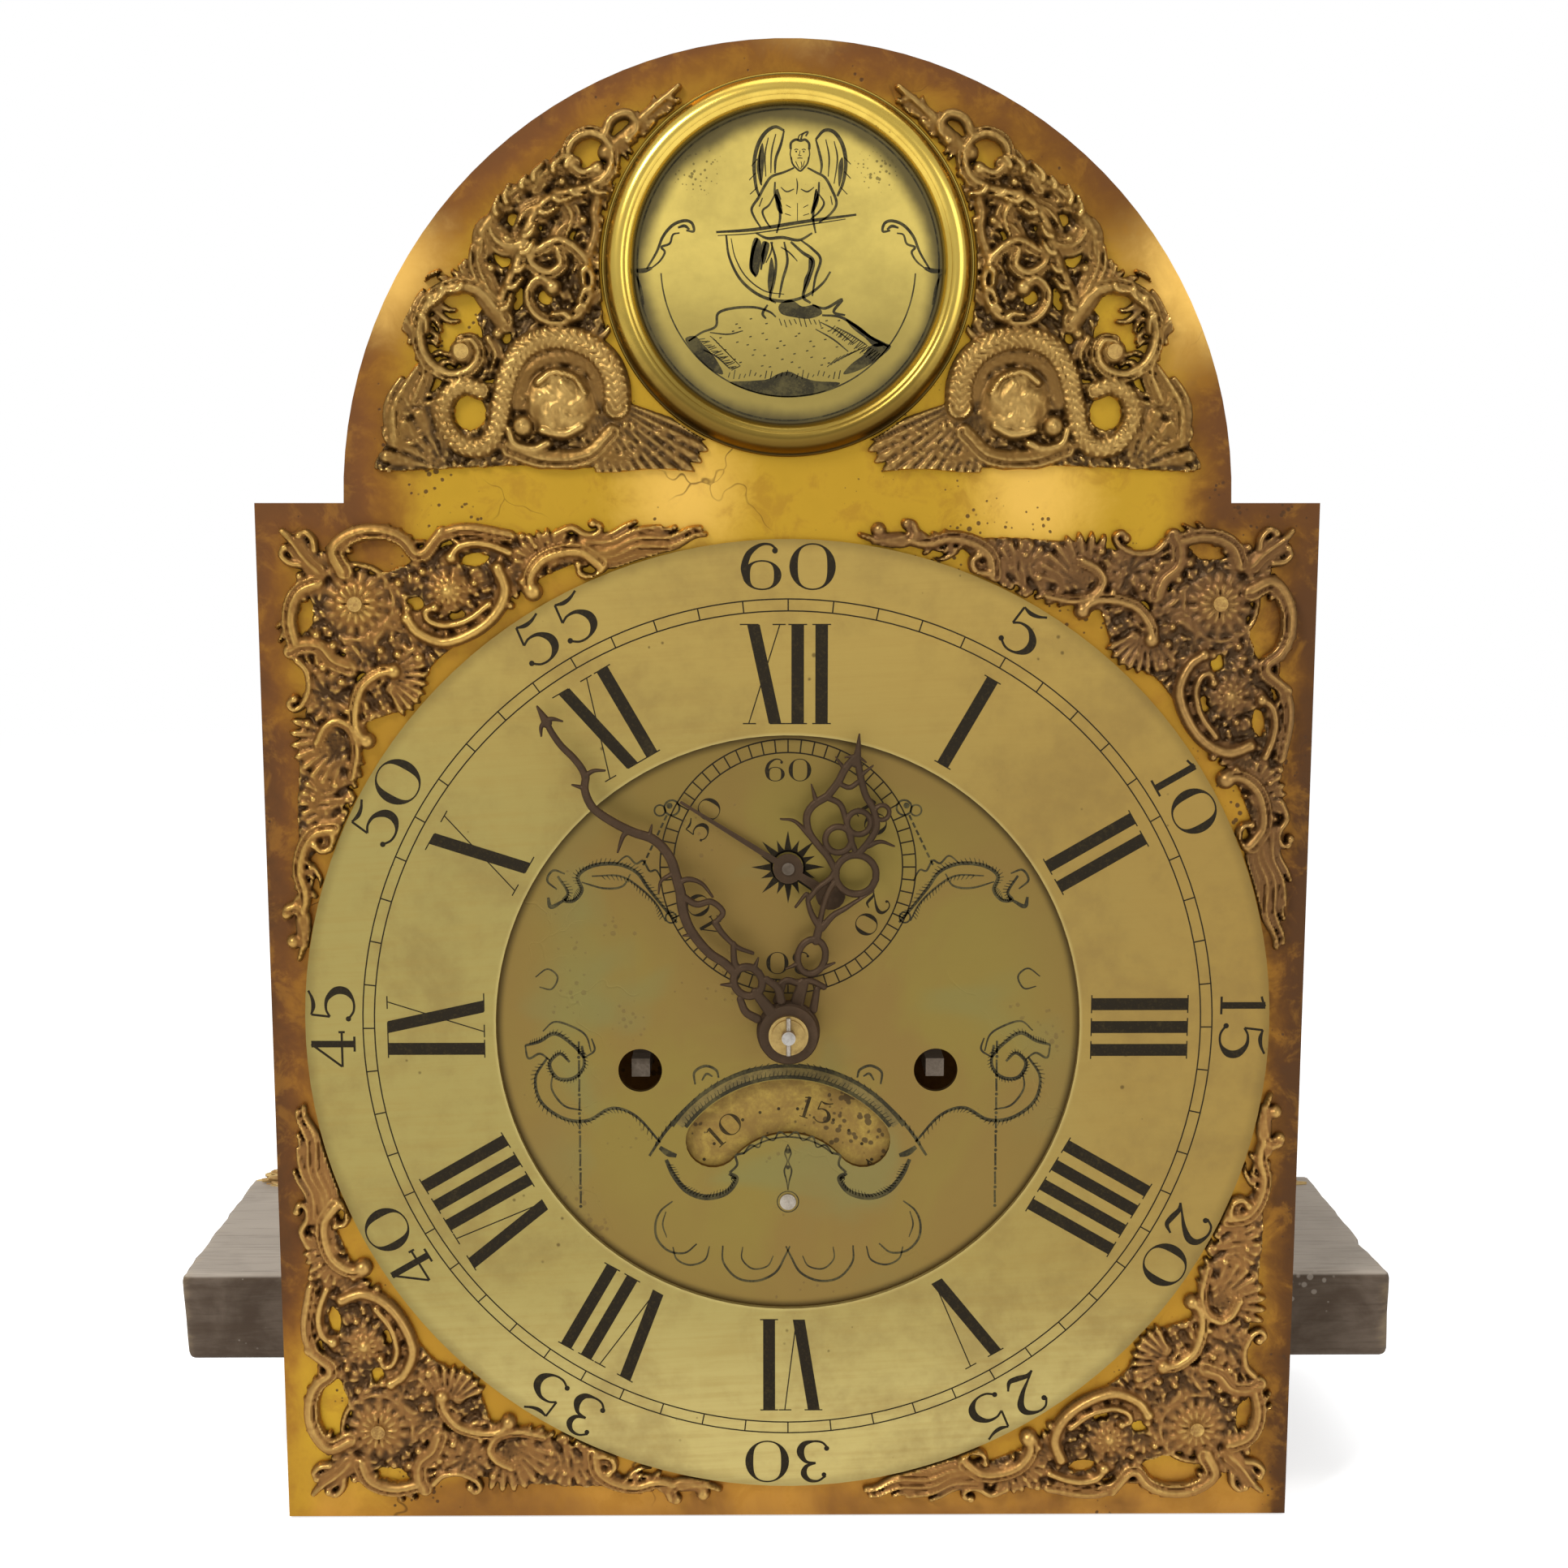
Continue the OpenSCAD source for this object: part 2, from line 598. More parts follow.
// Screws
cock_foot = [14.5, 8];
bell_foot = [26, 66];
module screw(p, d, thread, dir) {
    head = dir > 0 ? [d - screw_head_t, d] : [d, d + screw_head_t];
    shank = dir > 0 ? [d - 0.1, d + thread] : [d - thread, d + 0.1];
    rod(p, head[0], head[1], screw_head_r);
    rod(p, shank[0], shank[1], screw_r);
}
module screws() {
    top_d = face_d - spandrel_base_t - spandrel_relief_t;
    color("gray") {
        for (p = screw_places) screw(p, top_d, dial_t + spandrel_base_t + spandrel_relief_t, 1);
        for (p = bridge_feet) screw(p, bridge_d, -bridge_d - 0.5, 1);
        screw(minute_cock_foot, minute_cock_d, -minute_cock_d - 0.5, 1);
        for (s = [-1, 1])
            screw(pallet_place + [s*cock_foot[0], 0], cock_d1, cock_d1 - plate_gap - 0.4, -1);
        screw(bell_foot + [0, -3], back_d + 3, plate_t + 2.6, -1);
        screw(spring_foot, spring_d1, spring_d1 + plate_t - 0.4, -1);
        translate([0, frame_y + bell_d, arbor_z + bell_rim_z + bell_h]) cylinder(r = 4, h = 3.4, $fn = 6);
    }
}
module taper_pins() {
    color("darkgray") {
        for (p = feet_places)
            translate([p[0], frame_y + pin_hole_d, arbor_z + p[1]]) rotate([0, 90, 0])
                cylinder(r = pin_r, h = 15, center = true);
        for (p = pillar_places)
            translate([p[0], frame_y + back_d + pin_r + 0.1, arbor_z + p[1]]) rotate([0, 90, 0])
                cylinder(r = pin_r, h = 15, center = true);
    }
}

// Movement frame
pillar_tenon_r = 3;
module plate_blank(d0, d1) {
    slab([0, 0], d0, d1) translate([-plate_w/2, plate_bottom]) square([plate_w, plate_h]);
}
module front_plate() {
    color("goldenrod") difference() {
        plate_blank(-plate_t, 0);
        for (p = pillar_places) rod(p, -plate_t - 1, 1, pillar_tenon_r + fit_gap);
        for (p = feet_places) rod(p, -plate_t - 1, 1, foot_tenon_r + fit_gap);
        for (p = [going_place, strike_place]) rod(p, -plate_t - 1, 1, winding_arbor_r + run_gap);
        rod([0, 0], -plate_t - 1, 1, arbor_r + run_gap);
        for (p = [escape_place, gathering_place]) rod(p, -plate_t - 1, 1, slim_arbor_r + run_gap);
        for (p = [third_place, pallet_place, pin_place, warning_place, fly_place, hammer_place,
            minute_place]) rod(p, -plate_t - 1, 1, pivot_r + run_gap);
        for (p = concat(bridge_feet, [minute_cock_foot, spring_foot]))
            rod(p, -plate_t - 1, 1, screw_r + fit_gap);
        for (p = [rack_place, hook_place, lifting_place])
            rod(p, -plate_t - 1, 1, pivot_r + fit_gap);
    }
}
module back_plate() {
    color("goldenrod") difference() {
        plate_blank(plate_gap, back_d);
        for (p = pillar_places) rod(p, plate_gap - 1, back_d + 1, pillar_tenon_r + fit_gap);
        for (p = [going_place, strike_place, [0, 0], third_place, escape_place, pin_place,
            gathering_place, warning_place, fly_place, hammer_place])
            rod(p, plate_gap - 1, back_d + 1, pivot_r + run_gap);
        slab(pallet_place, plate_gap - 1, back_d + 1) translate([-4, -4]) square([8, 40]);
        for (s = [-1, 1]) rod(pallet_place + [s*cock_foot[0], 0], plate_gap - 1, back_d + 1,
            screw_r + fit_gap);
        rod(bell_foot + [0, -3], plate_gap - 1, back_d + 1, screw_r + fit_gap);
    }
}
module plate_pillars() {
    mid = plate_gap/2;
    color("gold") for (p = pillar_places) difference() {
        union() {
            rod(p, 0, plate_gap, pillar_r);
            rod(p, mid - 4, mid + 4, pillar_r + 0.5);
            rod(p, 0, 3, pillar_r + 0.5);
            rod(p, plate_gap - 3, plate_gap, pillar_r + 0.5);
            rod(p, -plate_t, 1, pillar_tenon_r);
            rod(p, plate_gap - 1, back_d + 3.4, pillar_tenon_r);
        }
        translate([p[0], frame_y + back_d + pin_r + 0.1, arbor_z + p[1]]) rotate([0, 90, 0])
            cylinder(r = pin_r + fit_gap, h = 20, center = true);
        if (p[1] < 0) for (d = bolt_depths)
            translate([p[0], frame_y + d, arbor_z + p[1] - 20])
                cylinder(r = bolt_r + fit_gap, h = 20.2);
    }
}
module stud(p, d) {
    rod(p, -plate_t - 0.1, -0.2, pivot_r);
    rod(p, d - 1.2, -plate_t, stud_r);
    rod(p, -plate_t - 1.1, -plate_t, stud_r + 1.2);
    rod(p, d - 1.2, d - 0.4, stud_r + 1);
}
module front_studs() {
    color("slategray") {
        stud(rack_place, rack_tail_d);
        stud(hook_place, rack_d);
        stud(lifting_place, rack_d);
    }
}

// Bridge over the cannon wheel with the pipe that carries the hour wheel, and the minute wheel's cock
bridge_t = 2;
bridge_feet = [for (s = [-1, 1]) from([0, 0], s*21, minute_heading + 90)];
minute_cock_d = hour_wheel_d - 4.2;
minute_cock_foot = from([0, 0], motion_distance + 20, minute_heading);
module hour_bridge() {
    color("gold") {
        difference() {
            union() {
                fused_slab([0, 0], bridge_d, bridge_d + bridge_t) {
                    stroke(bridge_feet, 8, 8);
                    for (p = bridge_feet) dot(p, 4);
                    dot([0, 0], 7);
                }
                for (p = bridge_feet) rod(p, bridge_d + 0.1, -plate_t, 3);
                rod([0, 0], bridge_d - 14, bridge_d + 0.1, bridge_pipe_r);
            }
            rod([0, 0], bridge_d - 15, 0, cannon_pipe_r + run_gap);
            for (p = bridge_feet) rod(p, bridge_d - 1, 0, screw_r + fit_gap);
        }
        difference() {
            union() {
                fused_slab([0, 0], minute_cock_d, minute_cock_d + bridge_t) {
                    stroke([minute_place, minute_cock_foot], 5, 7);
                    dot(minute_place, 3);
                    dot(minute_cock_foot, 4);
                }
                rod(minute_cock_foot, minute_cock_d + 0.1, -plate_t, 3);
            }
            rod(minute_cock_foot, minute_cock_d - 1, 0, screw_r + fit_gap);
            rod(minute_place, minute_cock_d - 1, minute_cock_d + 9, pivot_r + run_gap);
        }
    }
}

// Cock behind the back plate that carries the pallet arbor
cock_d0 = back_d + 15;
cock_d1 = cock_d0 + 3;
module back_cock() {
    p = pallet_place;
    color("gold") difference() {
        union() {
            fused_slab(p, cock_d0, cock_d1) {
                stroke([[-cock_foot[0], 0], [cock_foot[0], 0]], 2*cock_half, 2*cock_half);
                for (s = [-1, 1]) dot([s*cock_foot[0], 0], cock_half);
            }
            for (s = [-1, 1]) rod(p + [s*cock_foot[0], 0], back_d, cock_d0 + 0.1, 3.6);
            slab(p, cock_d1 - 0.1, cock_d1 + 9) translate([-6, -2]) square([12, 4]);
        }
        rod(p, cock_d0 - 1, cock_d0 + 2, pivot_r + run_gap);
        for (s = [-1, 1]) rod(p + [s*cock_foot[0], 0], back_d - 1, cock_d1 + 1, screw_r + fit_gap);
        slab(p, cock_d1 + 4, cock_d1 + 10) translate([-0.5, -3]) square([1, 6]);
    }
}

// Bell, mouth down over the plates, and its stand
function bell_radius(t) = bell_r*(t < 0.12 ? 1 - 0.25*t : sqrt(max(0, 1 - pow(t, 2.6)))*0.985);
module bell() {
    n = 14;
    outer = [for (i = [0 : n]) let(t = i/n) [max(bell_radius(t), 8), t*bell_h]];
    crown = [[3.2, bell_h], [3.2, bell_h - bell_wall]];
    inner = [for (i = [n : -1 : 0]) let(t = i/n)
        [max(bell_radius(t)*(1 - bell_wall/bell_r), 7), t*(bell_h - bell_wall)]];
    color("darkgoldenrod") translate([0, frame_y + bell_d, arbor_z + bell_rim_z])
        rotate_extrude($fn = 72) polygon(concat(outer, crown, inner));
}
module bell_stand() {
    bar_w = 9;
    bar_t = 3;
    arm_z = bell_rim_z + 9;
    arm_top = arm_z + 3.6;
    color("slategray") difference() {
        union() {
            translate([bell_foot[0] - bar_w/2, frame_y + back_d, arbor_z + bell_foot[1] - 10])
                cube([bar_w, bar_t, arm_top - bell_foot[1] + 10]);
            translate([0, frame_y + bell_d, arbor_z + arm_z])
                rotate(atan2(back_d - bell_d, bell_foot[0])) translate([0, -3.6, 0])
                cube([norm([bell_foot[0], back_d + bar_t/2 - bell_d]), 7.2, 3.6]);
            translate([0, frame_y + bell_d, arbor_z + arm_z]) cylinder(r = 5, h = bell_rim_z + bell_h - bell_wall - arm_z);
            translate([0, frame_y + bell_d, arbor_z + arm_z])
                cylinder(r = 2.6, h = bell_rim_z + bell_h - arm_z);
        }
        rod(bell_foot + [0, -3], back_d - 1, back_d + 5, screw_r + fit_gap);
    }
}

// Wheels of both trains
module wheel_on(p, d, t, n, m, turned, hub_r, rim_w, bore) {
    difference() {
        fused_slab(p, d, d + t) crossed_wheel(n, m, turned, hub_r, rim_w);
        rod(p, d - 1, d + t + 1, bore);
    }
}
module pivoted(p, r, front_d, rear_d) {
    rod(p, front_d + 0.3, rear_d - 0.3, r);
    rod(p, front_d - plate_t + 0.2, front_d + 0.4, pivot_r);
    rod(p, rear_d - 0.4, rear_d + plate_t - 0.2, pivot_r);
}
module pinion(p, d0, d1, n, m, turned) {
    slab(p, d0, d1) pinion_outline(n, m, turned);
}

ratchet_d = great_wheel_d - 3;
ratchet_t = 2.2;
module barrel(p) {
    difference() {
        union() {
            rod(p, barrel_d, barrel_d + 2, flange_r);
            rod(p, barrel_d + 1.9, ratchet_d - 1.9, drum_r);
            rod(p, ratchet_d - 2, ratchet_d, flange_r);
            slab(p, ratchet_d - 0.1, ratchet_d + ratchet_t) polygon([for (i = [0 : ratchet_teeth - 1],
                k = [0, 1]) (k == 0 ? ratchet_r : ratchet_r - 2)
                *[cos((i + 0.12*k)*360/ratchet_teeth), sin((i + 0.12*k)*360/ratchet_teeth)]]);
        }
        rod(p, barrel_d - 1, ratchet_d + ratchet_t + 1, winding_arbor_r + fit_gap);
    }
}
module winding_arbor(p) {
    end_d = face_d + 4;
    rod(p, 0.3, plate_gap - 0.3, winding_arbor_r);
    rod(p, -plate_t - 0.4, 0.4, winding_arbor_r);
    rod(p, plate_gap - 0.4, back_d - 0.2, pivot_r);
    slab(p, end_d, -plate_t - 0.3)
        translate([-winding_square/2, -winding_square/2]) square(winding_square);
}
click_t = 2;
click_stud_r = 1.5;
click_pivot_r = 28.6;
click_span = 34;
module great_wheel(p, n, m, turned) {
    d = great_wheel_d;
    difference() {
        slab(p, d, d + great_wheel_t) wheel_outline(n, m, turned);
        rod(p, d - 1, d + great_wheel_t + 1, winding_arbor_r + run_gap);
    }
    rod(from(p, click_pivot_r, 90), d - click_t - 0.7, d + 0.1, click_stud_r);
    rod(from(p, click_pivot_r, 90), d - click_t - 1.4, d - click_t - 0.6, click_stud_r + 1);
}
module click(p) {
    pivot = from([0, 0], click_pivot_r, 90);
    nose = from([0, 0], ratchet_r + 0.6, 90 - click_span);
    d = great_wheel_d - click_t - 0.3;
    difference() {
        fused_slab(p, d, d + click_t) {
            stroke([pivot, from([0, 0], 26, 90 - 0.5*click_span),
                from([0, 0], 22, 90 - 0.85*click_span), nose], 6, 0.9, 0);
            dot(pivot, 3.4);
        }
        rod(p + pivot, d - 1, d + click_t + 1, click_stud_r + run_gap);
    }
}
centre_turn = mated(0, going_great_teeth, going_place, [0, 0], centre_leaves);
third_turn = mated(0, centre_teeth, [0, 0], third_place, third_leaves);
escape_turn = mated(0, third_teeth, third_place, escape_place, escape_leaves);
pin_turn = mated(0, strike_great_teeth, strike_place, pin_place, pin_leaves);
gathering_turn = mated(0, pin_teeth, pin_place, gathering_place, upper_leaves);
warning_turn = mated(0, gathering_teeth, gathering_place, warning_place, upper_leaves);
fly_turn = mated(0, warning_teeth, warning_place, fly_place, upper_leaves);
minute_turn = mated(0, cannon_teeth, [0, 0], minute_place, cannon_teeth);
hour_turn = mated(0, minute_leaves, minute_place, [0, 0], hour_teeth);

module going_barrel() { color("gold") barrel(going_place); }
module going_arbor() { color("slategray") winding_arbor(going_place); }
module going_great_wheel() {
    color("goldenrod") great_wheel(going_place, going_great_teeth, great_module, 0);
}
module going_click() { color("slategray") click(going_place); }
module centre_wheel() {
    color("goldenrod")
        wheel_on([0, 0], centre_wheel_d, wheel_t, centre_teeth, going_module, 0, 6, 2.4, arbor_r + fit_gap);
}
module centre_arbor() {
    color("slategray") {
        rod([0, 0], -plate_t + 0.1, plate_gap - 0.3, arbor_r);
        rod([0, 0], plate_gap - 0.4, back_d - 0.2, pivot_r);
        difference() {
            rod([0, 0], collet_d - 3.4, -plate_t + 0.2, centre_front_r);
            pin_across(hand_pin_r + fit_gap, 6);
        }
        pinion([0, 0], great_wheel_d - 1, great_wheel_d + great_wheel_t + 1, centre_leaves,
            great_module, centre_turn);
    }
}
module third_wheel() {
    color("goldenrod") wheel_on(third_place, third_wheel_d, wheel_t, third_teeth, going_module, 0,
        5, 2.4, slim_arbor_r + fit_gap);
}
module third_arbor() {
    color("slategray") {
        pivoted(third_place, slim_arbor_r, 0, plate_gap);
        pinion(third_place, centre_wheel_d - 1, centre_wheel_d + wheel_t + 1.5, third_leaves,
            going_module, third_turn);
    }
}
escape_wheel_t = 1.6;
module escape_wheel() {
    p = escape_place;
    d = escape_wheel_d;
    root_r = escape_r - 3.6;
    color("gold") difference() {
        fused_slab(p, d, d + escape_wheel_t) difference() {
            polygon([for (i = [0 : escape_teeth - 1], k = [0 : 3])
                let(a = (i + [-0.33, 0.16, -0.008, 0.012][k])*360/escape_teeth - 0.5)
                [root_r, root_r, escape_r, escape_r][k]*[cos(a), sin(a)]]);
            difference() {
                circle(r = root_r - 2);
                circle(r = 4);
                for (i = [0 : 3]) rotate(45 + i*90) translate([0, -1]) square([root_r, 2]);
            }
        }
        rod(p, d - 1, d + escape_wheel_t + 1, slim_arbor_r + fit_gap);
    }
}
module escape_arbor() {
    color("slategray") {
        rod(escape_place, seconds_hand_d - 0.5, plate_gap - 0.3, slim_arbor_r);
        rod(escape_place, plate_gap - 0.4, back_d - 0.2, pivot_r);
        pinion(escape_place, third_wheel_d - 1.5, third_wheel_d + wheel_t + 1.5, escape_leaves,
            going_module, escape_turn);
    }
}
pallets_d = escape_wheel_d - 0.7;
pallets_t = 3;
nib_gap = 0.25;
module nib(a) {
    r = escape_r + nib_gap;
    t = [-sin(a), cos(a)];
    c = [cos(a), sin(a)];
    polygon([r*c - 0.3*t, r*c + 0.3*t, (r + 2.6)*c + 1.2*t, (r + 2.6)*c - 1.2*t]);
}
module pallets() {
    hub = pallet_place - escape_place;
    color("slategray") difference() {
        fused_slab(escape_place, pallets_d, pallets_d + pallets_t) {
            dot(hub, 4);
            for (s = [-1, 1]) stroke([hub, hub + [s*6.5, -3.6], from([0, 0], escape_r + 3, 90 - s*45)],
                5, 2.6);
            nib(135);
            nib(45);
        }
        rod(pallet_place, pallets_d - 1, pallets_d + pallets_t + 1, slim_arbor_r + fit_gap);
    }
}
crutch_len = 118;
crutch_t = 2;
fork_gap = 7;
module crutch() {
    p = pallet_place;
    d = back_d + 3;
    color("slategray") {
        rod(p, 0.3, cock_d0 - 0.3, slim_arbor_r);
        rod(p, -plate_t + 0.2, 0.4, pivot_r);
        rod(p, cock_d0 - 0.4, cock_d0 + 1.8, pivot_r);
        fused_slab(p, d, d + crutch_t) {
            dot([0, 0], 4);
            stroke([[0, 0], [0, -30], [0, -crutch_len]], 5, 3.4);
            translate([-fork_gap/2 - 2, -crutch_len - 1.5]) square([fork_gap + 4, 3]);
        }
        for (s = [-1, 1]) slab(p, d + crutch_t - 0.1, d + crutch_t + 10)
            translate([s*(fork_gap/2 + 1) - 1, -crutch_len - 1.5]) square([2, 3]);
    }
}

// Motion work in front of the plate
module cannon_wheel() {
    d = cannon_wheel_d;
    color("goldenrod") difference() {
        union() {
            fused_slab([0, 0], d, d + wheel_t)
                crossed_wheel(cannon_teeth, cannon_module, 0, 6, 2.2, 4, 2.6);
            rod([0, 0], minute_hand_d + hand_t, d + 0.1, cannon_pipe_r);
        }
        rod([0, 0], minute_hand_d - 1, d + wheel_t + 1, centre_front_r + run_gap);
    }
}
minute_pinion_d = hour_wheel_d - 0.7;
module minute_wheel() {
    p = minute_place;
    d = cannon_wheel_d;
    color("goldenrod") {
        fused_slab(p, d, d + wheel_t)
            crossed_wheel(cannon_teeth, cannon_module, minute_turn, 5, 2.2, 4, 2.6);
        pinion(p, minute_pinion_d, d + 0.1, minute_leaves, hour_module, 0);
        rod(p, d + wheel_t - 0.1, -plate_t - 0.3, slim_arbor_r);
        rod(p, -plate_t - 0.4, -0.2, pivot_r);
        rod(p, minute_cock_d + 0.2, minute_pinion_d + 0.1, pivot_r);
        rod(from(p, 11, 15), d - 1.4, d + 0.1, 0.9);
    }
}
function snail_radius(k) = norm(tail_tip(k)) - tail_pin_r - run_gap;
snail_contact = heading([0, 0], tail_tip(12)) + 7;
module snail_outline() {
    polygon([for (k = [1 : 12], i = [0 : 4])
        let(a = snail_contact + 30*(k - 1/6 + i/4) - 30*snail_hours)
        snail_radius(k)*[cos(a), sin(a)]]);
}
module hour_wheel() {
    d = hour_wheel_d;
    color("goldenrod") difference() {
        union() {
            fused_slab([0, 0], d, d + wheel_t)
                crossed_wheel(hour_teeth, hour_module, hour_turn, 9, 3, 4, 3.4);
            fused_slab([0, 0], snail_d, d) union() {
                snail_outline();
                circle(r = hour_pipe_r + 0.4);
            }
            rod([0, 0], hour_hand_d + hand_t, d + 0.1, hour_pipe_r);
        }
        rod([0, 0], hour_hand_d - 1, d + wheel_t + 1, bridge_pipe_r + run_gap);
    }
}

// Hands, drawn pointing up with their origin at their arbor
module minute_outline() {
    s = minute_hand_len/119.3;
    scale(s) {
        stroke([[0, 119.3], [0.8, 114], [-0.2, 108], [0.3, 102], [-0.6, 98], [-3, 95], [-4.1, 91],
            [-3.4, 87], [-1.4, 82], [1, 77], [3.7, 72.5], [4.7, 68], [4.2, 63], [2.7, 59],
            [0.8, 54.4]], 0.8, 3.2, 0.6);
        stroke([[0.9, 55], [-1.6, 50], [-3.4, 45], [-3.9, 40], [-3.5, 34.5], [-1.6, 28], [-2, 25]],
            3.4, 2.2);
        stroke([[0.6, 53], [3, 50], [6, 48], [7, 44], [4.6, 41], [3.2, 36], [3.8, 31], [2, 26]], 3, 2);
        stroke([[0, 99.4], [2.4, 98.8], [5, 97.4]], 2.6, 0.6);
        stroke([[1.4, 78], [-2, 77.8], [-6, 75.6]], 2.6, 0.6);
        stroke([[4.2, 114], [0.6, 116], [-3.4, 113.6]], 0.7, 0.7, 1.4);
        stroke(bow([0, 19.5], 6.2, 6.2, 0, 360, 20), 2.2, 2.2);
        stroke([[-6.8, 16.5], [-6, 11.5], [-3, 8.6]], 1.8, 2.6);
        stroke([[5.6, 15.5], [5, 11.5], [3, 8.6]], 1.8, 2.6);
    }
    dot([0, 0], collet_r + 3.4);
}
module hour_outline() {
    s = hour_hand_len/89.4;
    scale(s) {
        stroke([[0.2, 89.4], [0.4, 84.5], [0.2, 80.6]], 0.8, 4.6);
        stroke([[-0.6, 82.4], [-2.4, 77.4], [-5.3, 72.3], [-8.6, 68.8], [-9.7, 65], [-8, 60.6],
            [-4.4, 57.3], [-0.9, 54.6], [2, 50]], 1.8, 2, 0.4);
        stroke([[1, 82.4], [3.1, 79.2], [5.5, 75], [8.4, 71.5], [10.2, 67], [9.6, 62.7], [6, 59],
            [2.6, 54.6]], 1.8, 2, 0.4);
        stroke([[-5.3, 72.6], [-1.4, 70.5], [1, 67], [5.2, 60]], 1.8, 1.8);
        stroke(bow([8.5, 51.6], 6.3, 6.3, 0, 360, 20), 1.9, 1.9);
        stroke(bow([0.7, 60.6], 4.3, 4.3, 0, 360, 16), 1.7, 1.7);
        stroke([[1.6, 52], [-1.2, 47.5], [-3, 42], [-2.2, 37.6], [1.5, 33.2]], 2, 2.4);
        stroke([[1.5, 33.2], [4.6, 37.4], [7.8, 41], [9.6, 45]], 2.4, 2);
        stroke([[-5.2, 72], [-7, 73.6], [-9, 75.6]], 2.2, 0.6);
        stroke([[-0.6, 82], [-3, 83], [-5.4, 84.4]], 2.2, 0.6);
        stroke([[-8, 61], [-12.6, 63], [-16.2, 62.6]], 1.8, 0.6);
        stroke([[9.6, 62], [12.9, 63.4], [16.4, 62.8]], 1.8, 0.6);
        stroke([[-0.6, 40], [-3.4, 38.8], [-6.2, 39.4]], 2.4, 0.8);
        stroke(bow([1.4, 25], 5.4, 5.4, 0, 360, 18), 2.2, 2.2);
        stroke([[1.5, 34.4], [1.5, 29.6]], 3, 3);
        stroke([[-6.4, 16.4], [-2.6, 17.6], [1.4, 18.6], [5, 17.6], [8, 18.4]], 1, 1, 4.4);
        stroke([[0.6, 18], [0, 9]], 5, 9);
    }
    dot([0, 0], hour_pipe_r + 3.2);
}
module seconds_outline() {
    tip = seconds_hand_len;
    stroke([[0, tip], [0, 3]], 0.8, 1.8);
    dot([0, 0], slim_arbor_r + 2.6);
    stroke([[0, -3], [0, -12]], 2, 3);
    dot([0, -14.6], 4.4);
}
module hand(p, d, t, angle, bore) {
    difference() {
        fused_slab(p, d, d + t) rotate(-angle) children();
        rod(p, d - 1, d + t + 1, bore);
    }
}
module hour_hand() {
    color("dimgray") hand([0, 0], hour_hand_d, hand_t, hour_hand_angle, cannon_pipe_r + pass_gap)
        hour_outline();
}
module minute_hand() {
    color("dimgray") hand([0, 0], minute_hand_d, hand_t, minute_hand_angle, centre_front_r + fit_gap)
        minute_outline();
}
module seconds_hand() {
    color("dimgray") hand(escape_place, seconds_hand_d, 0.8, seconds_hand_angle, slim_arbor_r + fit_gap)
        seconds_outline();
}
collet_t = 2.4;
collet_d = minute_hand_d - collet_t;
hand_pin_r = 0.7;
module hand_collet() {
    color("khaki") difference() {
        union() {
            rod([0, 0], collet_d + 0.8, minute_hand_d, collet_r);
            rod([0, 0], collet_d, collet_d + 0.9, collet_r - 1);
        }
        rod([0, 0], collet_d - 1, minute_hand_d + 1, centre_front_r + fit_gap);
    }
}
module pin_across(r, h) {
    translate([0, frame_y + collet_d - hand_pin_r - 0.05, arbor_z])
        cylinder(r = r, h = h, center = true);
}
module hand_pin() {
    color("silver") pin_across(hand_pin_r, 11);
}

// Striking train
module strike_barrel() { color("gold") barrel(strike_place); }
module strike_arbor() { color("slategray") winding_arbor(strike_place); }
module strike_great_wheel() {
    color("goldenrod") great_wheel(strike_place, strike_great_teeth, strike_module, 0);
}
module strike_click() { color("slategray") click(strike_place); }
hammer_pin_ring = 19;
hammer_pin_r = 0.9;
hammer_pin_len = 3.4;
module pin_wheel() {
    p = pin_place;
    d = pin_wheel_d;
    color("goldenrod") {
        wheel_on(p, d, wheel_t, pin_teeth, pin_module, 0, 5, 3.4, slim_arbor_r + fit_gap);
        for (i = [0 : hammer_pins - 1]) rod(from(p, hammer_pin_ring, (i + 0.5)*360/hammer_pins),
            d + wheel_t - 0.1, d + wheel_t + hammer_pin_len, hammer_pin_r);
    }
}
module pin_arbor() {
    color("slategray") {
        pivoted(pin_place, slim_arbor_r, 0, plate_gap);
        pinion(pin_place, great_wheel_d - 1, great_wheel_d + great_wheel_t + 1, pin_leaves,
            strike_module, pin_turn);
    }
}
module gathering_wheel() {
    color("goldenrod") wheel_on(gathering_place, gathering_wheel_d, wheel_t - 0.5, gathering_teeth,
        gathering_module, 0, 4.4, 2, slim_arbor_r + fit_gap);
}
module gathering_arbor() {
    p = gathering_place;
    color("slategray") {
        rod(p, gathering_tail_d - 0.6, plate_gap - 0.3, slim_arbor_r);
        rod(p, plate_gap - 0.4, back_d - 0.2, pivot_r);
        pinion(p, pin_wheel_d - 1.5, pin_wheel_d + wheel_t + 1.5, upper_leaves, pin_module,
            gathering_turn);
        fused_slab(p, rack_d, rack_d + lever_t) {
            dot([0, 0], 2.4);
            stroke([[0, 0], [-finger_r, 0]], 2.8, 1.4);
        }
        rod(p, rack_d - 0.7, rack_d + 0.1, 2.4);
        fused_slab(p, gathering_tail_d, gathering_tail_d + lever_t) {
            dot([0, 0], 3.2);
            stroke([[0, 0], [8, 3.6], from([0, 0], pallet_tail_r, 15)], 4.4, 2);
        }
    }
}
